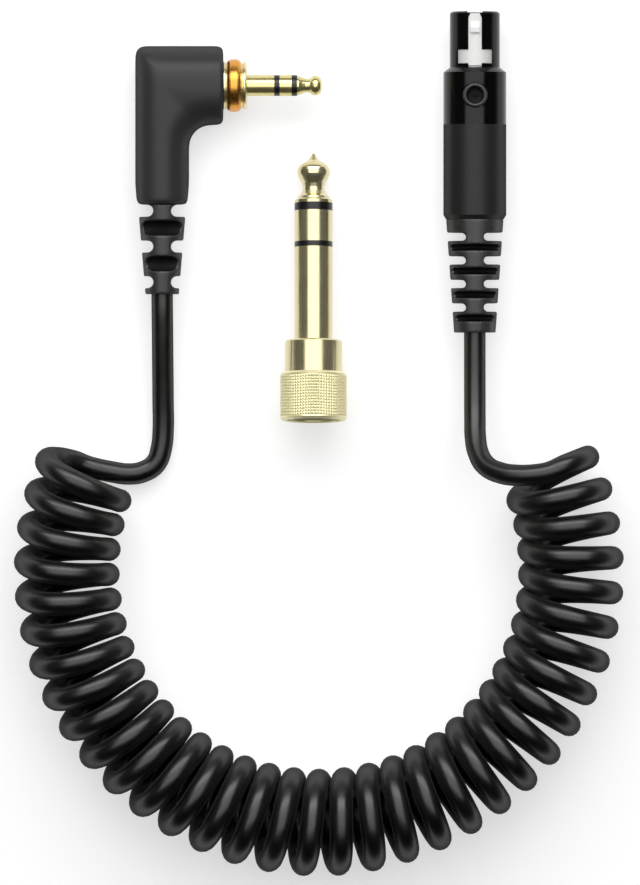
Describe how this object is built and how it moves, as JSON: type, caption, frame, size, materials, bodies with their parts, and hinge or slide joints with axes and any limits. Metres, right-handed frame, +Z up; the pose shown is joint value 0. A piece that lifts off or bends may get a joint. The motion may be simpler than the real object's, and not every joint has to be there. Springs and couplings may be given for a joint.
{
  "type": "curly headphone cord",
  "caption": "Curly headphone cord with a right-angle 3.5 mm stereo plug, a latching mini XLR socket and a loose 6.35 mm plug adapter.",
  "frame": {"origin": "floor point under the middle of the two connectors and the adapter, without the cord", "axes": "+X along the 3.5 mm plug's pin, +Y along the socket's nose, +Z up from the floor that the cord lies on"},
  "size_m": [0.1016, 0.144, 0.0176],
  "materials": {
    "cord_jacket": "satin",
    "housing_plastic": "satin",
    "boot_rubber": "satin",
    "bronze_plating": "polished",
    "gold_plating": "polished",
    "matte_gold": "matte, finely knurled",
    "black_insulator": "satin",
    "plain_steel": "satin",
    "black_enamel": "gloss",
    "matte_coating": "matte",
    "wire_insulation": "satin"
  },
  "bodies": {
    "cable": {"cord_plug_lead": "cord_jacket", "cord_coil": "cord_jacket", "cord_socket_lead": "cord_jacket", "plug_housing": "housing_plastic", "plug_boot": "boot_rubber", "plug_collar": "bronze_plating", "plug_sleeve": "gold_plating", "plug_rear_insulator": "black_insulator", "plug_ring": "gold_plating", "plug_front_insulator": "black_insulator", "plug_tip": "gold_plating", "plug_crimp": "plain_steel", "plug_wires": "wire_insulation", "socket_shell": "black_enamel", "socket_insert": "black_insulator", "contact_left": "gold_plating", "contact_right": "gold_plating", "contact_lower": "gold_plating", "latch_spring": "plain_steel", "socket_sleeve": "matte_coating", "cable_clamp": "plain_steel", "socket_wires": "wire_insulation", "socket_boot": "boot_rubber"},
    "button": {"release_button": "black_enamel"},
    "latch": {"latch_plate": "plain_steel"},
    "adapter": {"adapter_grip": "matte_gold", "adapter_shoulder": "gold_plating", "adapter_sleeve": "gold_plating", "adapter_rear_insulator": "black_insulator", "adapter_ring": "gold_plating", "adapter_front_insulator": "black_insulator", "adapter_tip": "gold_plating", "adapter_insert": "black_insulator", "adapter_tip_spring": "gold_plating", "adapter_ring_spring": "gold_plating", "adapter_ground_spring": "gold_plating"}
  },
  "joints": [
    {"name": "button_press", "type": "slide", "parent": "cable", "child": "button", "axis": [0, 0, -1], "range_m": [0, 0.00035], "stiffness_N_per_m": 300, "springref_m": -0.002},
    {"name": "latch_pivot", "type": "hinge", "parent": "cable", "child": "latch", "pos_m": [0.0257, 0.0128, 0.0084], "axis": [-1, 0, 0], "range_deg": [0, 2.7], "deforming": ["latch_spring"]},
    {"name": "adapter_lift", "type": "slide", "parent": "cable", "child": "adapter", "axis": [0, 0, 1], "range_m": [0, 0.00006]}
  ],
  "couplings": [
    {"joint": "latch_pivot", "follows": "button_press", "rad_per_m": 133.33}
  ]
}
